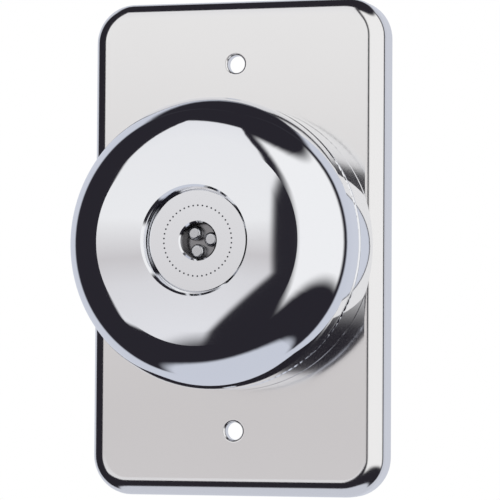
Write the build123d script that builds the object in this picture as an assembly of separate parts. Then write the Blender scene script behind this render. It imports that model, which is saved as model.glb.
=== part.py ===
from build123d import *
import math
import os

# Selector key switch for a flush wall box: a chromed wall plate, an armoured lock head
# whose outer dome spins freely, and a sprung two-way rotary switch behind the plate.
# Millimetres. +Z is up, the front faces -Y, y = 0 is the wall and the lock axis is x = z = 0.

# ---- wall plate ----
plate_width = 69.0
plate_height = 113.0
plate_depth = 9.0
plate_wall = 2.4
plate_corner = 9.0
plate_edge = 4.0
screw_spacing = 83.5
screw_hole_radius = 2.0
screw_hole_round = 0.6
gasket_width = 3.0
gasket_depth = 2.0
gasket_clearance = 0.1

# ---- lock head ----
head_radius = 32.5
head_edge = 0.5
collar_depth = 11.5
collar_wall = 3.5
collar_web = 3.5
slip_ring_inner = 27.0
slip_ring_outer = 31.7
slip_ring_thickness = 0.9
seam = 1.2
dome_height = 18.3
dome_crown_radius = 110.0
dome_shoulder_radius = 12.0
dome_wall = 4.0
dome_roof = 7.0
hub_radius = 13.0
recess_radius = 11.7
recess_bevel = 0.5
disc_radius = 11.4
disc_thickness = 1.6
disc_bevel = 0.35
disc_depth = 3.0

# ---- lock barrel and plug ----
barrel_radius = 9.5
barrel_lip = 1.9
barrel_lip_bore = 5.0
flange_radius = 13.5
flange_thickness = 2.9
thread_radius = 9.9
thread_flat = 8.9
barrel_rear = 0.6
plug_radius = 7.0
plug_rear = 2.4
nose_radius = 4.9
socket_radius = 4.05
socket_depth = 2.7
plug_socket_radius = 4.4
socket_floor = 1.2
pin_circle = 2.35
pin_count = 3
first_pin_angle = 130.0
pin_head_radius = 1.6
pin_body_radius = 1.86
pin_standing = 2.3
pin_body_length = 6.9
pin_crown = 0.7
spring_space = 12.5
spring_radius = 1.3
spring_wire = 0.22
spring_turns = 8
cap_thickness = 1.2
cap_bore = 4.5
shaft_square = 5.0
shaft_hole_play = 1.0
shaft_rear = 12.6
cross_pin_radius = 0.8
cross_pin_y = -4.0
cross_pin_inset = 0.2
turn_each_way = 45.0
stop_pin_radius = 1.0
stop_pin_y = -15.0
stop_groove_depth = 1.2
stop_pin_top = 9.5
drill_pin_radius = 0.75
drill_pin_length = 8.0
dowel_radius = 0.6
dowel_circle = 7.2
dowel_length = 2.0
clip_thickness = 0.7
clip_groove_depth = 0.75
clip_outer = 8.5
clip_mouth = 5.0
washer_thickness = 0.7

# ---- behind the plate ----
sheet = 1.2
bracket_half = 26.0
bracket_half_height = 12.0
bracket_rear = 13.0
lock_washer_thickness = 0.8
lock_washer_radius = 13.0
nut_across_flats = 27.0
nut_thickness = 4.0
base_front = 3.0
base_wall = 2.0
base_depth = 12.4
gear_room = 1.0
cover_thickness = 1.5
gear_module = 0.6
gear_teeth = 18
gear_pressure = 20.0
gear_width = 5.0
gear_front = 7.0
backlash = 0.14
slider_half = 13.0
slider_body = 4.9
bridge_half = 6.5
bridge_thickness = 1.05
contact_gap = 0.3
contact_thickness = 0.85
contact_row = 1.4
contact_rows_apart = 2.2
contact_leg = 5.0
contact_reach = 17.0
open_gap = 2.9
terminal_height = 3.0
terminal_spacing = 14.5
terminal_screw_radius = 1.4
terminal_head_radius = 2.6
small_screw_radius = 1.0
small_head_radius = 2.0
cover_screw_inset = 3.8
boss_radius = 2.2
centring_radius = 1.6
centring_wire = 0.25
centring_turns = 6

# ---- fits ----
running_fit = 0.06
pin_fit = 0.04
press_fit = 0.02
loose_fit = 0.1
slot_width = 0.7
slot_depth = 0.6
bracket_screw_heights = (-4.7, 0.3)
bracket_screw_head = 1.5
bracket_screw_reach = 1.0
terminal_head_height = 1.8
terminal_tip_inset = 0.1
cover_head_height = 1.2
cover_screw_inset_front = 1.0
rail_drop = 2.0
row_rise = 0.4
cover_block_margin = 1.0
flank_steps = 6

# ---- places along the lock axis, worked from the wall outwards ----
plate_front = -plate_depth
collar_front = plate_front - collar_depth
dome_rear = collar_front - seam
dome_front = dome_rear - dome_height
disc_front = dome_front + disc_depth
disc_rear = disc_front + disc_thickness
flange_front = collar_front - flange_thickness
washer_front = flange_front - washer_thickness
nose_front = disc_rear + loose_fit
socket_bottom = nose_front + socket_depth
chamber_front = socket_bottom + socket_floor
plug_front = disc_rear + barrel_lip + loose_fit
pin_rear = chamber_front + pin_body_length
cap_front = pin_rear + spring_space
cap_rear = cap_front + cap_thickness
cross_pin_half = plug_radius - cross_pin_inset
clip_front = barrel_rear + loose_fit
bracket_front = plate_front + plate_wall
lock_washer_front = bracket_front + sheet
nut_front = lock_washer_front + lock_washer_thickness
base_rear = base_front + base_depth
cavity_front = base_front + base_wall
base_half = bracket_half - sheet - loose_fit
cavity_half = base_half - base_wall
gear_rear = gear_front + gear_width
pitch_radius = gear_module * gear_teeth / 2
base_top = pitch_radius + gear_module + gear_room + base_wall
cover_screw_x = base_half - cover_screw_inset
cover_screw_z = base_top - cover_screw_inset
rack_root = -pitch_radius - 1.25 * gear_module
rack_tip = -pitch_radius + gear_module
slider_bottom = rack_root - slider_body
cavity_bottom = slider_bottom - loose_fit
base_bottom = cavity_bottom - base_wall
bridge_rear = gear_rear + bridge_thickness
contact_front = bridge_rear + contact_gap
contact_rear = contact_front + contact_thickness
low_row = slider_bottom + row_rise
high_row = low_row + contact_rows_apart
cover_rear = base_rear + cover_thickness


def rod(radius, start, end, x=0.0, z=0.0):
    """A round rod along Y."""
    bar = Cylinder(radius, end - start, align=(Align.CENTER, Align.CENTER, Align.MIN))
    return Pos(x, start, z) * Rot(-90, 0, 0) * bar


def side_rod(radius, start, end, y, z):
    """A round rod along X."""
    bar = Cylinder(radius, end - start, align=(Align.CENTER, Align.CENTER, Align.MIN))
    return Pos(start, y, z) * Rot(0, 90, 0) * bar


def block(x0, x1, y0, y1, z0, z1):
    """A box given by its two opposite corners."""
    return Pos((x0 + x1) / 2, (y0 + y1) / 2, (z0 + z1) / 2) * Box(x1 - x0, y1 - y0, z1 - z0)


def ring(inner, outer, start, end):
    return rod(outer, start, end) - rod(inner, start, end)


def soften(solid, radius, *places):
    """Round the circular edges that lie at the given (radius, y) places."""
    tolerance = 0.01
    chosen = []
    for edge in solid.edges().filter_by(GeomType.CIRCLE):
        for at_radius, at_y in places:
            same_y = abs(edge.arc_center.Y - at_y) < tolerance
            if same_y and abs(edge.radius - at_radius) < tolerance:
                chosen.append(edge)
    return fillet(chosen, radius)


def coil(radius, wire, turns, start, end):
    """A compression spring along Y from start to end, both ends open."""
    length = end - start - 2 * wire
    path = Helix(pitch=length / turns, height=length, radius=radius)
    section = Plane(origin=path @ 0, z_dir=path % 0) * Circle(wire)
    return Pos(0, start + wire, 0) * Rot(-90, 0, 0) * sweep(section, path)


def plate_form(width, height, depth, corner, edge):
    body = block(-width / 2, width / 2, -depth, 0, -height / 2, height / 2)
    body = fillet(body.edges().filter_by(Axis.Y), corner)
    return fillet(body.faces().sort_by(Axis.Y)[0].edges(), edge)


def flatted(radius, flat, start, end):
    """A rod with two flats, or the matching hole."""
    return rod(radius, start, end) & block(-flat, flat, start, end, -radius, radius)


def slotted_screw(radius, cap_radius, seat, tip, head):
    """A cheese-head screw along Y with its head to the rear, on the axis."""
    screw = rod(radius, tip, seat) + rod(cap_radius, seat, seat + head)
    top = seat + head
    return screw - block(
        -cap_radius, cap_radius, top - slot_depth, top, -slot_width / 2, slot_width / 2
    )


def involute_tooth():
    """One gear tooth pointing along -Z, as a face in the XZ plane."""
    base_circle = pitch_radius * math.cos(math.radians(gear_pressure))
    tip = pitch_radius + gear_module
    root = pitch_radius - 1.25 * gear_module
    pressure = math.radians(gear_pressure)
    half_at_pitch = (math.pi * gear_module / 2 - backlash / 2) / 2 / pitch_radius
    flank = []
    for step in range(flank_steps + 1):
        radius = base_circle + (tip - base_circle) * step / flank_steps
        angle = math.acos(min(1.0, base_circle / radius))
        roll = math.tan(angle) - angle
        half = half_at_pitch + math.tan(pressure) - pressure - roll
        flank.append((radius * math.sin(half), -radius * math.cos(half)))
    foot = flank[0][0]
    points = [(foot, -0.9 * root)] + flank
    mirrored = [(-x, z) for x, z in reversed(points)]
    return make_face(Plane.XZ * Polyline(*points, *mirrored, close=True))


nodes = {}

# ---- wall plate and gasket ----
inner_width = plate_width - 2 * plate_wall
inner_height = plate_height - 2 * plate_wall
inner_corner = plate_corner - plate_wall
faceplate = plate_form(plate_width, plate_height, plate_depth, plate_corner, plate_edge)
faceplate -= plate_form(
    inner_width, inner_height, plate_depth - plate_wall, inner_corner, plate_edge - plate_wall
)
thread_hole = thread_radius + 2 * loose_fit
flat_hole = thread_flat + loose_fit
faceplate -= flatted(thread_hole, flat_hole, plate_front, bracket_front)
for side in (-1, 1):
    faceplate -= rod(screw_hole_radius, plate_front, bracket_front, z=side * screw_spacing / 2)
faceplate = soften(faceplate, screw_hole_round, (screw_hole_radius, plate_front))
nodes["faceplate"] = faceplate

gasket_corner = inner_corner - gasket_clearance
gasket_half_width = inner_width / 2 - gasket_clearance
gasket_half_height = inner_height / 2 - gasket_clearance
gasket = block(
    -gasket_half_width, gasket_half_width, -gasket_depth, 0, -gasket_half_height, gasket_half_height
)
gasket = fillet(gasket.edges().filter_by(Axis.Y), gasket_corner)
opening = block(
    gasket_width - gasket_half_width,
    gasket_half_width - gasket_width,
    -gasket_depth,
    0,
    gasket_width - gasket_half_height,
    gasket_half_height - gasket_width,
)
nodes["wall_gasket"] = gasket - fillet(opening.edges().filter_by(Axis.Y), gasket_corner - gasket_width)

# ---- fixed collar and the black ring in the seam ----
collar = rod(head_radius, collar_front, plate_front)
collar -= rod(head_radius - collar_wall, collar_front + collar_web, plate_front)
collar -= flatted(thread_hole, flat_hole, collar_front, collar_front + collar_web)
collar = soften(collar, head_edge, (head_radius, collar_front), (head_radius, plate_front))
nodes["collar"] = collar
nodes["slip_ring"] = ring(slip_ring_inner, slip_ring_outer, collar_front - slip_ring_thickness, collar_front)

# ---- dome, which spins on the barrel ----
ledge = disc_rear + loose_fit
hub_rear = washer_front - loose_fit
edge_angle = math.asin((recess_radius + recess_bevel) / dome_crown_radius)
crown_centre = dome_front + dome_crown_radius * math.cos(edge_angle)
shoulder_centre_x = head_radius - dome_shoulder_radius
centres_apart = dome_crown_radius - dome_shoulder_radius
shoulder_centre_y = crown_centre - math.sqrt(centres_apart**2 - shoulder_centre_x**2)
lean = math.asin(shoulder_centre_x / centres_apart)


def on_crown(angle):
    return (dome_crown_radius * math.sin(angle), crown_centre - dome_crown_radius * math.cos(angle))


def on_shoulder(angle):
    return (
        shoulder_centre_x + dome_shoulder_radius * math.sin(angle),
        shoulder_centre_y - dome_shoulder_radius * math.cos(angle),
    )


roof = dome_front + dome_roof
outline = Polyline(
    (head_radius, shoulder_centre_y),
    (head_radius, dome_rear),
    (head_radius - dome_wall, dome_rear),
    (head_radius - dome_wall, roof),
    (hub_radius, roof),
    (hub_radius, hub_rear),
    (barrel_radius + running_fit, hub_rear),
    (barrel_radius + running_fit, ledge),
    (recess_radius, ledge),
    (recess_radius, dome_front + recess_bevel),
    on_crown(edge_angle),
)
crown = ThreePointArc(on_crown(edge_angle), on_crown((edge_angle + lean) / 2), on_crown(lean))
shoulder_middle = (lean + math.pi / 2) / 2
shoulder = ThreePointArc(on_crown(lean), on_shoulder(shoulder_middle), (head_radius, shoulder_centre_y))
dome = revolve(make_face([outline, crown, shoulder]), Axis.Y)
nodes["dome_shield"] = soften(dome, head_edge, (head_radius, dome_rear))

# ---- face disc with its blind dowels ----
disc = rod(disc_radius, disc_front, disc_rear) - rod(socket_radius, disc_front, disc_rear)
rims = [e for e in disc.edges().filter_by(GeomType.CIRCLE) if abs(e.arc_center.Y - disc_front) < 0.01]
disc = chamfer(rims, disc_bevel)
dowel_front = disc_rear - dowel_length / 2
for number, side in enumerate((-1, 1), start=1):
    at = side * dowel_circle
    disc -= rod(dowel_radius + press_fit, dowel_front, disc_rear, z=at)
    nodes[f"disc_dowel_{number}"] = rod(dowel_radius, dowel_front, dowel_front + dowel_length, z=at)
nodes["face_disc"] = disc

# ---- barrel, its hard pins, washer and stop ----
barrel = rod(barrel_radius, disc_rear, flange_front)
barrel += rod(flange_radius, flange_front, collar_front)
barrel += flatted(thread_radius, thread_flat, collar_front, barrel_rear)
barrel -= rod(plug_radius + running_fit, disc_rear + barrel_lip, barrel_rear)
barrel -= rod(barrel_lip_bore, disc_rear, disc_rear + barrel_lip)
wall_middle = (plug_radius + barrel_radius) / 2
for number, side in enumerate((-1, 1), start=1):
    at = side * wall_middle
    barrel -= rod(drill_pin_radius + press_fit, disc_rear, disc_rear + drill_pin_length, x=at)
    nodes[f"anti_drill_pin_{number}"] = rod(
        drill_pin_radius, disc_rear + loose_fit, disc_rear + drill_pin_length, x=at
    )
    barrel -= rod(dowel_radius + press_fit, disc_rear, dowel_front + dowel_length, z=side * dowel_circle)
groove_floor = plug_radius - stop_groove_depth
stop_length = stop_pin_top - groove_floor - 2 * loose_fit
upright = Pos(0, stop_pin_y, stop_pin_top - stop_length / 2)
nodes["stop_pin"] = upright * Cylinder(stop_pin_radius, stop_length)
barrel -= Pos(0, stop_pin_y, stop_pin_top) * Cylinder(stop_pin_radius + press_fit, 2 * stop_length)
nodes["lock_barrel"] = barrel
nodes["thrust_washer"] = ring(barrel_radius + loose_fit, hub_radius, washer_front, flange_front)

# ---- plug ----
chamber_radius = pin_body_radius + pin_fit
plug = rod(plug_radius, plug_front, plug_rear) + rod(nose_radius, nose_front, plug_front)
plug -= rod(plug_socket_radius, nose_front, socket_bottom)
plug -= rod(cap_bore, cap_front, plug_rear)
clip_floor = plug_radius - clip_groove_depth
plug -= ring(clip_floor, plug_radius + 1, clip_front - press_fit, clip_front + clip_thickness + press_fit)
groove_half = stop_pin_radius + loose_fit
pin_half_angle = math.degrees(math.asin(groove_half / groove_floor))
sweep_angle = 2 * (turn_each_way + pin_half_angle)
groove = ring(groove_floor, plug_radius + 1, stop_pin_y - groove_half, stop_pin_y + groove_half)
wedge_reach = 4 * plug_radius
wedge_points = [(0.0, 0.0)]
for step in range(5):
    turn = math.radians(sweep_angle * (step / 4 - 0.5))
    wedge_points.append((wedge_reach * math.sin(turn), wedge_reach * math.cos(turn)))
wedge_face = make_face(Plane.XZ * Polyline(*wedge_points, close=True))
wedge = extrude(wedge_face, wedge_reach, both=True)
plug -= groove & wedge
plug -= side_rod(cross_pin_radius + press_fit, -plug_radius, plug_radius, cross_pin_y, 0)
pin_angles = [first_pin_angle + 360 / pin_count * index for index in range(pin_count)]
for number, angle in enumerate(pin_angles, start=1):
    x = pin_circle * math.cos(math.radians(angle))
    z = pin_circle * math.sin(math.radians(angle))
    plug -= rod(pin_head_radius + pin_fit, socket_bottom, chamber_front, x, z)
    plug -= rod(chamber_radius, chamber_front, cap_front, x, z)
    tip = socket_bottom - pin_standing
    head = rod(pin_head_radius, tip, chamber_front, x, z)
    head = fillet(head.faces().sort_by(Axis.Y)[0].edges(), pin_crown)
    nodes[f"tumbler_pin_{number}"] = head + rod(pin_body_radius, chamber_front, pin_rear, x, z)
    nodes[f"tumbler_spring_{number}"] = Pos(x, 0, z) * coil(
        spring_radius, spring_wire, spring_turns, pin_rear, cap_front
    )
nodes["plug"] = plug
nodes["pin_cap"] = rod(cap_bore - press_fit, cap_front, cap_rear)
half_square = shaft_square / 2
shaft = rod(cap_bore - press_fit, cap_rear, plug_rear)
shaft += block(-half_square, half_square, plug_rear, shaft_rear, -half_square, half_square)
shaft -= side_rod(cross_pin_radius + press_fit, -plug_radius, plug_radius, cross_pin_y, 0)
nodes["tail_shaft"] = shaft
nodes["tail_pin"] = side_rod(
    cross_pin_radius, -cross_pin_half, cross_pin_half, cross_pin_y, 0
)
clip = ring(clip_floor + press_fit, clip_outer, clip_front, clip_front + clip_thickness)
nodes["plug_clip"] = clip - block(
    -clip_mouth / 2, clip_mouth / 2, clip_front, clip_front + clip_thickness, 0, clip_outer
)

# ---- bracket, washer and nut that clamp the lock to the plate ----
bracket = block(
    -bracket_half, bracket_half, bracket_front, bracket_rear, -bracket_half_height, bracket_half_height
)
bracket = fillet(bracket.faces().sort_by(Axis.Y)[0].edges().filter_by(Axis.Z), 1.5 * sheet)
bracket -= block(
    sheet - bracket_half,
    bracket_half - sheet,
    bracket_front + sheet,
    bracket_rear,
    -bracket_half_height,
    bracket_half_height,
)
bracket -= flatted(thread_hole, flat_hole, bracket_front, bracket_front + sheet)
nodes["lock_washer"] = ring(thread_hole, lock_washer_radius, lock_washer_front, nut_front)
nut = Pos(0, nut_front, 0) * Rot(-90, 0, 0) * extrude(
    RegularPolygon(nut_across_flats / 2, 6, major_radius=False), nut_thickness
)
nodes["barrel_nut"] = nut - rod(thread_radius + running_fit, nut_front, nut_front + nut_thickness)

# ---- switch base and its bosses ----
base = block(-base_half, base_half, base_front, base_rear, base_bottom, base_top)
base = fillet(base.edges().filter_by(Axis.Y), base_wall / 2)
base -= block(-cavity_half, cavity_half, cavity_front, base_rear, cavity_bottom, base_top - base_wall)
shaft_hole = shaft_square / math.sqrt(2) + shaft_hole_play
base -= rod(shaft_hole, base_front, cavity_front)
base += block(
    -cavity_half, cavity_half, cavity_front, gear_front - loose_fit, cavity_bottom, rack_root - rail_drop
)
screw_y = (base_front + base_rear) / 2
bracket_screw_count = 0
bracket_screw_tip = cavity_half - bracket_screw_reach
for side in (-1, 1):
    boss = rod(boss_radius, cavity_front, base_rear, side * cover_screw_x, cover_screw_z)
    base += boss
    base -= rod(
        small_screw_radius + press_fit, gear_front, base_rear, side * cover_screw_x, cover_screw_z
    )
    for z in bracket_screw_heights:
        bracket_screw_count += 1
        near = side * bracket_screw_tip
        seat = side * bracket_half
        far = side * (bracket_half + bracket_screw_head)
        shank = side_rod(small_screw_radius, min(near, seat), max(near, seat), screw_y, z)
        head = side_rod(small_head_radius, min(seat, far), max(seat, far), screw_y, z)
        slot_in = side * (bracket_half + bracket_screw_head - slot_depth)
        slot = block(
            min(slot_in, far),
            max(slot_in, far),
            screw_y - small_head_radius,
            screw_y + small_head_radius,
            z - slot_width / 2,
            z + slot_width / 2,
        )
        nodes[f"bracket_screw_{bracket_screw_count}"] = shank + head - slot
        hole = side_rod(
            small_screw_radius + press_fit, min(near, seat), max(near, seat), screw_y, z
        )
        base -= hole
        bracket -= hole
nodes["switch_base"] = base
nodes["switch_bracket"] = bracket

# ---- rear cover with the three fixed contacts and their terminals ----
cover = block(-base_half, base_half, base_rear, cover_rear, base_bottom, base_top)
cover = fillet(cover.edges().filter_by(Axis.Y), base_wall / 2)
cover_block_half = contact_reach + cover_block_margin
cover += block(
    -cover_block_half,
    cover_block_half,
    contact_rear,
    base_rear,
    slider_bottom,
    base_top - base_wall - loose_fit,
)
leg_top = terminal_height + contact_leg / 2
low_strip = block(-bridge_half, bridge_half, contact_front, contact_rear, low_row, low_row + contact_row)
low_leg = block(-contact_leg / 2, contact_leg / 2, contact_front, contact_rear, low_row, leg_top)
contacts = {"common_contact": (0, low_strip + low_leg)}
for name, side in (("open_contact", -1), ("close_contact", 1)):
    inner_end = side * (bridge_half + open_gap)
    outer_end = side * contact_reach
    leg_end = side * (contact_reach - contact_leg)
    strip = block(
        min(inner_end, outer_end),
        max(inner_end, outer_end),
        contact_front,
        contact_rear,
        high_row,
        high_row + contact_row,
    )
    leg_from, leg_to = min(leg_end, outer_end), max(leg_end, outer_end)
    leg = block(leg_from, leg_to, contact_front, contact_rear, high_row, leg_top)
    contacts[name] = (side * terminal_spacing, strip + leg)
for number, (name, (x, strip)) in enumerate(contacts.items(), start=1):
    hole = rod(terminal_screw_radius + press_fit, contact_front, cover_rear, x, terminal_height)
    nodes[name] = strip - hole
    cover -= hole
    screw_tip = contact_front + terminal_tip_inset
    screw = slotted_screw(
        terminal_screw_radius, terminal_head_radius, cover_rear, screw_tip, terminal_head_height
    )
    nodes[f"terminal_screw_{number}"] = Pos(x, 0, terminal_height) * screw
for number, side in enumerate((-1, 1), start=1):
    x = side * cover_screw_x
    cover -= rod(small_screw_radius + press_fit, base_rear, cover_rear, x, cover_screw_z)
    screw_tip = gear_front + cover_screw_inset_front
    screw = slotted_screw(
        small_screw_radius, small_head_radius, cover_rear, screw_tip, cover_head_height
    )
    nodes[f"cover_screw_{number}"] = Pos(x, 0, cover_screw_z) * screw
nodes["switch_cover"] = cover

# ---- pinion on the tail shaft ----
tooth = extrude(involute_tooth(), gear_width)
tooth = Pos(0, gear_front - tooth.bounding_box().min.Y, 0) * tooth
pinion = rod(pitch_radius - 1.25 * gear_module, gear_front, gear_rear)
for index in range(gear_teeth):
    pinion += Rot(0, index * 360 / gear_teeth, 0) * tooth
half_bore = half_square + press_fit
nodes["pinion"] = pinion - block(-half_bore, half_bore, gear_front, gear_rear, -half_bore, half_bore)

# ---- rack slider with its bridge ----
slider = block(-slider_half, slider_half, gear_front, gear_rear, slider_bottom, rack_root)
rack_pitch = math.pi * gear_module
slope = math.tan(math.radians(gear_pressure))
half_pitch_line = (rack_pitch / 2 - backlash / 2) / 2
half_foot = half_pitch_line + slope * 1.25 * gear_module
half_crest = half_pitch_line - slope * gear_module
rack_outline = [
    (-half_foot, rack_root),
    (-half_crest, rack_tip),
    (half_crest, rack_tip),
    (half_foot, rack_root),
]
rack_tooth = extrude(make_face(Plane.XZ * Polyline(*rack_outline, close=True)), gear_width)
rack_tooth = Pos(0, gear_front - rack_tooth.bounding_box().min.Y, 0) * rack_tooth
rack_tooth_count = 2 * int((slider_half - half_foot) / rack_pitch)
for index in range(rack_tooth_count):
    slider += Pos((index - rack_tooth_count / 2 + 0.5) * rack_pitch, 0, 0) * rack_tooth
nodes["contact_slider"] = slider
nodes["contact_bridge"] = block(
    -bridge_half, bridge_half, gear_rear, bridge_rear, low_row, high_row + contact_row
)

# ---- centring springs ----
spring_z = (slider_bottom + rack_root) / 2
for name, side in (("left", -1), ("right", 1)):
    spring = coil(centring_radius, centring_wire, centring_turns, slider_half, cavity_half)
    nodes[f"centring_spring_{name}"] = (
        Pos(0, (gear_front + gear_rear) / 2, spring_z) * Rot(0, 0, -side * 90) * spring
    )

os.makedirs("parts", exist_ok=True)
for name, shape in nodes.items():
    export_step(shape, f"parts/{name}.step")
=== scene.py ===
import math

import bmesh
import bpy
from mathutils import Matrix, Vector


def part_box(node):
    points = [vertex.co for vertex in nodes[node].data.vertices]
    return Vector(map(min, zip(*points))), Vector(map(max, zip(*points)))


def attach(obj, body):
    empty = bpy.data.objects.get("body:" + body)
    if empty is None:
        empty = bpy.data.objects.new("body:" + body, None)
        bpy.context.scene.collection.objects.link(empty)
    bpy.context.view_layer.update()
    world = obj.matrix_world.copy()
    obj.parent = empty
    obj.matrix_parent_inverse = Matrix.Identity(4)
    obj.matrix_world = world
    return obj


# Looks of a flush key switch. What shows from the front is chrome and nickel, so its look comes
# mostly from the studio around it. Metres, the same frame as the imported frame.

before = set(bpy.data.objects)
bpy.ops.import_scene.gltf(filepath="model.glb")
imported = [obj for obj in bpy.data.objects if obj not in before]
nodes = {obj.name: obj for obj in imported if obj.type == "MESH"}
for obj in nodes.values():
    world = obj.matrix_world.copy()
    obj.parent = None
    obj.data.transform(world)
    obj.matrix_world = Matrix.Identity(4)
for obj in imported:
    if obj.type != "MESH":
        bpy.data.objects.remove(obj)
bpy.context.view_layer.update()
MM = 0.001

METAL_RELIEF = 0.02 * MM
METAL_DETAIL = 3.0
PLASTIC_RELIEF = 0.03 * MM
PLASTIC_DETAIL = 4.0
PLASTIC_IOR = 1.5
# the colour sockets of a mix node: first, second and result
MIX_FIRST, MIX_SECOND, MIX_RESULT = 6, 7, 2

# ---- helpers ----


def linear(hex_colour):
    """sRGB hex to linear RGBA, by the sRGB transfer curve."""
    parts = [int(hex_colour[i : i + 2], 16) / 255 for i in (1, 3, 5)]
    return [p / 12.92 if p <= 0.04045 else ((p + 0.055) / 1.055) ** 2.4 for p in parts] + [1.0]


def add(tree, kind, settings=None, **inputs):
    """Add a node, set its properties, and fill or link its inputs; _0 is the first input."""
    node = tree.nodes.new(kind)
    for name, value in (settings or {}).items():
        setattr(node, name, value)
    for name, value in inputs.items():
        key = int(name[1:]) if name[0] == "_" else name.replace("_", " ")
        if isinstance(value, bpy.types.NodeSocket):
            tree.links.new(value, node.inputs[key])
        else:
            node.inputs[key].default_value = value
    return node


def maths(tree, operation, *values):
    """A math node on the given numbers or sockets; gives its result."""
    inputs = {f"_{place}": value for place, value in enumerate(values)}
    return add(tree, "ShaderNodeMath", {"operation": operation}, **inputs).outputs[0]


def material(name):
    """An empty node material and its tree."""
    made = bpy.data.materials.new(name)
    made.use_nodes = True
    made.node_tree.nodes.clear()
    return made, made.node_tree


def dress(finish, *names):
    """Give CAD nodes their finish."""
    for name in names:
        mesh = nodes[name].data
        mesh.materials.clear()
        mesh.materials.append(finish)


# ---- finishes ----


def metal(name, colour, rough_low, rough_high, grain_mm, bump, stretch=(1, 1, 1)):
    """A metal: one noise of the grain's size varies its roughness and gives it a faint relief."""
    made, tree = material(name)
    place = add(tree, "ShaderNodeTexCoord")
    grain = add(tree, "ShaderNodeMapping", Vector=place.outputs["Object"], Scale=stretch)
    drift = add(
        tree,
        "ShaderNodeTexNoise",
        Vector=grain.outputs["Vector"],
        Scale=1 / (grain_mm * MM),
        Detail=METAL_DETAIL,
    )
    rough = add(
        tree, "ShaderNodeMapRange", Value=drift.outputs["Fac"], To_Min=rough_low, To_Max=rough_high
    )
    relief = add(
        tree, "ShaderNodeBump", Height=drift.outputs["Fac"], Strength=bump, Distance=METAL_RELIEF
    )
    shader = add(
        tree,
        "ShaderNodeBsdfPrincipled",
        Metallic=1.0,
        Base_Color=linear(colour),
        Roughness=rough.outputs["Result"],
        Normal=relief.outputs["Normal"],
    )
    add(tree, "ShaderNodeOutputMaterial", Surface=shader.outputs["BSDF"])
    return made


def plastic(name, colour, rough_low, rough_high, grain_mm, bump):
    """A plastic or rubber with a fine mottled texture in its roughness and relief."""
    made, tree = material(name)
    place = add(tree, "ShaderNodeTexCoord")
    spark = add(
        tree,
        "ShaderNodeTexNoise",
        Vector=place.outputs["Object"],
        Scale=1 / (grain_mm * MM),
        Detail=PLASTIC_DETAIL,
    )
    rough = add(
        tree, "ShaderNodeMapRange", Value=spark.outputs["Fac"], To_Min=rough_low, To_Max=rough_high
    )
    relief = add(
        tree, "ShaderNodeBump", Height=spark.outputs["Fac"], Strength=bump, Distance=PLASTIC_RELIEF
    )
    shader = add(
        tree,
        "ShaderNodeBsdfPrincipled",
        Base_Color=linear(colour),
        Roughness=rough.outputs["Result"],
        Normal=relief.outputs["Normal"],
        IOR=PLASTIC_IOR,
    )
    add(tree, "ShaderNodeOutputMaterial", Surface=shader.outputs["BSDF"])
    return made


# Chromium plate, buffed: a cool, clean mirror with a faint wave in it.
chrome = metal("chromium_plate_buffed", "#EDEEF1", 0.035, 0.055, 9.0, 0.02)
# The same plating on the wall plate: paler and less sharp, so reflections lie softly on it.
plate_chrome = metal("chromium_plate_on_pressed_sheet", "#EBEAEA", 0.09, 0.13, 14.0, 0.03)
# Nickel plate, turned: a satin grey, darkened below the metal's own tone as painted shade, so the
# lock reads as set back from the chrome.
nickel = metal("nickel_plate_turned_painted_shade", "#8F8E90", 0.16, 0.24, 0.8, 0.15)
# Bare turned brass: a warm yellow with a satin grain, on the nut behind the plate.
brass = metal("brass_turned", "#C9A45C", 0.20, 0.32, 0.5, 0.25)
# Ground steel: a bright neutral grey with small sharp glints, on pins and shafts.
steel = metal("hardened_steel_ground", "#C9CACD", 0.14, 0.24, 0.4, 0.2)
# Drawn spring wire: a duller mid grey.
wire = metal("music_wire_drawn", "#9A9A9C", 0.25, 0.35, 0.3, 0.2)
# Zinc plated steel: a pale bluish grey, broadly soft, its grain drawn out along one axis.
zinc = metal("zinc_plated_steel_rolled", "#C6CACF", 0.28, 0.42, 1.2, 0.3, (1, 1, 6))
# Stamped copper: a pinkish orange with a soft sheen.
copper = metal("contact_copper_stamped", "#C98B62", 0.25, 0.38, 0.6, 0.2)
# Black acetal: near black with a low, even gloss, the dark line in the seam.
acetal = plastic("acetal_black_turned", "#101012", 0.35, 0.5, 0.4, 0.1)
# Moulded rubber: a matt black with almost no highlight.
rubber = plastic("rubber_moulded", "#1A1A1B", 0.65, 0.85, 0.5, 0.4)
# Moulded thermoset: a warm off-white, half matt, for the switch housing.
thermoset = plastic("thermoset_moulded", "#D9D7D0", 0.42, 0.58, 0.5, 0.25)
# Natural nylon: a creamy white, slightly waxy, for the gear and the slider.
nylon = plastic("nylon_natural_moulded", "#E4E0D4", 0.38, 0.5, 0.6, 0.2)

dress(plate_chrome, "faceplate")
dress(chrome, "collar", "dome_shield", "face_disc")
# the lock's nickel carries painted shade of its recess in its colour
dress(nickel, "lock_barrel", "plug", "pin_cap")
dress(brass, "barrel_nut")
dress(copper, "common_contact", "open_contact", "close_contact", "contact_bridge")
dress(acetal, "slip_ring")
dress(rubber, "wall_gasket")
dress(thermoset, "switch_base", "switch_cover")
dress(nylon, "pinion", "contact_slider")
for name in nodes:
    if name.startswith(("tumbler_pin", "anti_drill", "disc_dowel")):
        dress(steel, name)
    elif "spring" in name:
        dress(wire, name)
    elif name.startswith(("bracket_screw", "cover_screw", "terminal_screw")):
        dress(zinc, name)
dress(steel, "stop_pin", "tail_pin", "tail_shaft", "thrust_washer", "plug_clip")
dress(zinc, "switch_bracket", "lock_washer")

# ---- ring of small dark dots round the key socket, a hair proud of the disc ----

disc_low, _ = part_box("face_disc")
disc_front = disc_low[1]
dot_circle = 7.75 * MM
dot_radius = 0.2 * MM
dot_count = 46
dot_proud = 0.02 * MM
dot_sides = 12
ink_grain = 0.25 * MM
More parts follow.
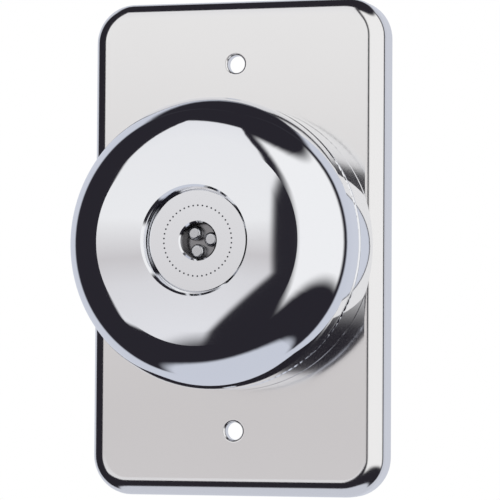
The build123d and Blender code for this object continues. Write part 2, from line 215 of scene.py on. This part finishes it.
# Dark fill: a soft matt grey, so each dot reads as a mark and not as a hole.
ink, ink_tree = material("etched_dot_fill")
ink_place = add(ink_tree, "ShaderNodeTexCoord")
ink_noise = add(
    ink_tree, "ShaderNodeTexNoise", Vector=ink_place.outputs["Object"], Scale=1 / ink_grain
)
ink_rough = add(
    ink_tree, "ShaderNodeMapRange", Value=ink_noise.outputs["Fac"], To_Min=0.5, To_Max=0.7
)
ink_shader = add(
    ink_tree,
    "ShaderNodeBsdfPrincipled",
    Base_Color=linear("#55565C"),
    Roughness=ink_rough.outputs["Result"],
)
add(ink_tree, "ShaderNodeOutputMaterial", Surface=ink_shader.outputs["BSDF"])
dots = bmesh.new()
for index in range(dot_count):
    angle = 2 * math.pi * index / dot_count
    centre = Vector((dot_circle * math.sin(angle), disc_front, dot_circle * math.cos(angle)))
    bmesh.ops.create_cone(
        dots,
        cap_ends=True,
        segments=dot_sides,
        radius1=dot_radius,
        radius2=dot_radius,
        depth=2 * dot_proud,
        matrix=Matrix.Translation(centre) @ Matrix.Rotation(math.pi / 2, 4, "X"),
    )
dot_mesh = bpy.data.meshes.new("dial_dots")
dots.to_mesh(dot_mesh)
dots.free()
dot_ring = bpy.data.objects.new("dial_dots", dot_mesh)
bpy.context.scene.collection.objects.link(dot_ring)
dot_mesh.materials.append(ink)
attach(dot_ring, "base")

# ---- studio: a tent of soft panels; it lights the object and the chrome mirrors it ----

TENT_RADIUS = 3.0
TENT_FINENESS = 5
TENT_SIDES = "#D3D7E2"
# Colour, azimuth range, elevation range and soft edge, in degrees; later panels lie over earlier.
PANELS = (
    ("#2B2930", (-110, 130), (-57, 95), 8),
    ("#2B2930", (126, 185), (48, 95), 10),
    ("#2B2930", (-185, -106), (48, 95), 10),
    ("#FFFFFF", (12, 118), (-19, 50), 10),
)
# The main panel's shade by elevation: dimmest near the horizon, brighter below and above it.
MAIN_AZIMUTH = (-44, 3)
MAIN_ELEVATION = (-20, 58)
MAIN_SOFT = 3
MAIN_GRADE = (
    (-20, "#F0F0F3"),
    (-7, "#E6E5E7"),
    (-1, "#D6D3D4"),
    (8, "#FAFAFA"),
    (58, "#F1F1F4"),
)
# Its lower corner is cut off: below the start, each degree of elevation takes this much azimuth.
CORNER_START = -5
CORNER_SLANT = 1.25
AZIMUTH_START = -180


def studio_tent():
    """A round tent, its glow painted by direction: azimuth from -Y towards +X, and elevation."""
    made, tree = material("studio_tent")
    place = add(tree, "ShaderNodeTexCoord")
    axes = add(tree, "ShaderNodeSeparateXYZ", Vector=place.outputs["Object"])
    forward = maths(tree, "MULTIPLY", axes.outputs["Y"], -1.0)
    azimuth = maths(tree, "ARCTAN2", axes.outputs["X"], forward)
    elevation = maths(tree, "ARCSINE", axes.outputs["Z"])
    degrees = 180 / math.pi
    az = maths(tree, "MULTIPLY", azimuth, degrees)
    el = maths(tree, "MULTIPLY", elevation, degrees)

    def ramp(value, low, high, soft):
        """1 between low and high, falling to 0 over soft degrees at both ends."""
        rise = add(
            tree,
            "ShaderNodeMapRange",
            {"interpolation_type": "SMOOTHSTEP"},
            Value=value,
            From_Min=low - soft / 2,
            From_Max=low + soft / 2,
        )
        fall = add(
            tree,
            "ShaderNodeMapRange",
            {"interpolation_type": "SMOOTHSTEP"},
            Value=value,
            From_Min=high - soft / 2,
            From_Max=high + soft / 2,
            To_Min=1.0,
            To_Max=0.0,
        )
        return maths(tree, "MULTIPLY", rise.outputs["Result"], fall.outputs["Result"])

    def over(below, colour, az_range, el_range, soft, also=None):
        """Lay a panel over what is there; also is a further mask on it."""
        across = ramp(az, *az_range, soft)
        upright = ramp(el, *el_range, soft)
        cover = maths(tree, "MULTIPLY", across, upright)
        if also:
            cover = maths(tree, "MULTIPLY", cover, also)
        mix = tree.nodes.new("ShaderNodeMix")
        mix.data_type = "RGBA"
        tree.links.new(cover, mix.inputs[0])
        for place, value in ((MIX_FIRST, below), (MIX_SECOND, colour)):
            socket = mix.inputs[place]
            if isinstance(value, bpy.types.NodeSocket):
                tree.links.new(value, socket)
            else:
                socket.default_value = value
        return mix.outputs[MIX_RESULT]

    layer = linear(TENT_SIDES)
    for colour, az_range, el_range, soft in PANELS:
        layer = over(layer, linear(colour), az_range, el_range, soft)
    grade = tree.nodes.new("ShaderNodeValToRGB")
    lowest, highest = MAIN_GRADE[0][0], MAIN_GRADE[-1][0]
    shade = add(tree, "ShaderNodeMapRange", Value=el, From_Min=lowest, From_Max=highest)
    stops = grade.color_ramp.elements
    for number, (at, colour) in enumerate(MAIN_GRADE):
        position = (at - lowest) / (highest - lowest)
        if number < 2:  # a new ramp already has two stops
            stop = stops[number]
            stop.position = position
        else:
            stop = stops.new(position)
        stop.color = linear(colour)
    tree.links.new(shade.outputs["Result"], grade.inputs["Fac"])
    below = maths(tree, "SUBTRACT", CORNER_START, el)
    lost = maths(tree, "MAXIMUM", below, 0.0)
    slanted = maths(tree, "MULTIPLY_ADD", lost, CORNER_SLANT, az)
    cut_corner = ramp(slanted, AZIMUTH_START, MAIN_AZIMUTH[1], MAIN_SOFT)
    layer = over(
        layer, grade.outputs["Color"], MAIN_AZIMUTH, MAIN_ELEVATION, MAIN_SOFT, cut_corner
    )
    glow = add(tree, "ShaderNodeEmission", Color=layer, Strength=1.0)
    add(tree, "ShaderNodeOutputMaterial", Surface=glow.outputs["Emission"])
    shell = bmesh.new()
    bmesh.ops.create_icosphere(shell, subdivisions=TENT_FINENESS, radius=1.0)
    mesh = bpy.data.meshes.new("studio_tent")
    shell.to_mesh(mesh)
    shell.free()
    mesh.materials.append(made)
    tent = bpy.data.objects.new("studio_tent", mesh)
    bpy.context.scene.collection.objects.link(tent)
    tent.scale = (TENT_RADIUS, TENT_RADIUS, TENT_RADIUS)
    tent.visible_camera = False


studio_tent()

# ---- pale floor below the switch: white to the camera, left out of reflections ----

FLOOR_DROP = 0.20
FLOOR_SIZE = 2.4
floor_finish, floor_tree = material("matt_white_floor")
floor_path = add(floor_tree, "ShaderNodeLightPath")
camera_sees = floor_path.outputs["Is Camera Ray"]
floor_seen = maths(
    floor_tree, "MAXIMUM", camera_sees, floor_path.outputs["Is Transmission Ray"]
)
floor_paint = add(floor_tree, "ShaderNodeBsdfDiffuse", Color=linear("#D8DAE0"))
floor_glow = add(floor_tree, "ShaderNodeEmission", Color=linear("#FFFFFF"), Strength=1.0)
floor_mix = add(
    floor_tree,
    "ShaderNodeMixShader",
    _0=floor_seen,
    _1=floor_paint.outputs["BSDF"],
    _2=floor_glow.outputs["Emission"],
)
add(floor_tree, "ShaderNodeOutputMaterial", Surface=floor_mix.outputs["Shader"])
floor_mesh = bpy.data.meshes.new("floor")
floor_form = bmesh.new()
bmesh.ops.create_grid(floor_form, x_segments=1, y_segments=1, size=FLOOR_SIZE / 2)
floor_form.to_mesh(floor_mesh)
floor_form.free()
floor_mesh.materials.append(floor_finish)
floor = bpy.data.objects.new("floor", floor_mesh)
floor.location = (0.0, 0.0, -FLOOR_DROP)
bpy.context.scene.collection.objects.link(floor)
floor.visible_glossy = False

# ---- plain white surroundings, behind the tent, which the camera does not see ----

world = bpy.data.worlds.new("white_room")
bpy.context.scene.world = world
world.use_nodes = True
world.node_tree.nodes.clear()
sky = add(world.node_tree, "ShaderNodeBackground", Color=linear("#FFFFFF"), Strength=1.0)
add(world.node_tree, "ShaderNodeOutputWorld", Surface=sky.outputs["Background"])

# ---- camera, at the viewing angle ----

AZIMUTH = math.radians(16.5)
ELEVATION = math.radians(-2.8)
ROLL = math.radians(0.35)
DISTANCE = 0.700
LENS = 219.2
SENSOR = 36.0
NEAREST = 0.01
TARGET = Vector((1.0, 0.0, -0.25)) * MM
back = Vector(
    (
        math.sin(AZIMUTH) * math.cos(ELEVATION),
        -math.cos(AZIMUTH) * math.cos(ELEVATION),
        math.sin(ELEVATION),
    )
)
right = Vector((math.cos(AZIMUTH), math.sin(AZIMUTH), 0.0))
up = back.cross(right)
rolled_right = right * math.cos(ROLL) + up * math.sin(ROLL)
rolled_up = up * math.cos(ROLL) - right * math.sin(ROLL)
lens = bpy.data.cameras.new("camera")
lens.sensor_width = SENSOR
lens.lens = LENS
lens.clip_start = NEAREST
camera = bpy.data.objects.new("camera", lens)
bpy.context.scene.collection.objects.link(camera)
turn = Matrix((rolled_right, rolled_up, back)).transposed().to_4x4()
camera.matrix_world = Matrix.Translation(TARGET + back * DISTANCE) @ turn
bpy.context.scene.camera = camera
bpy.context.scene.view_settings.view_transform = "Standard"
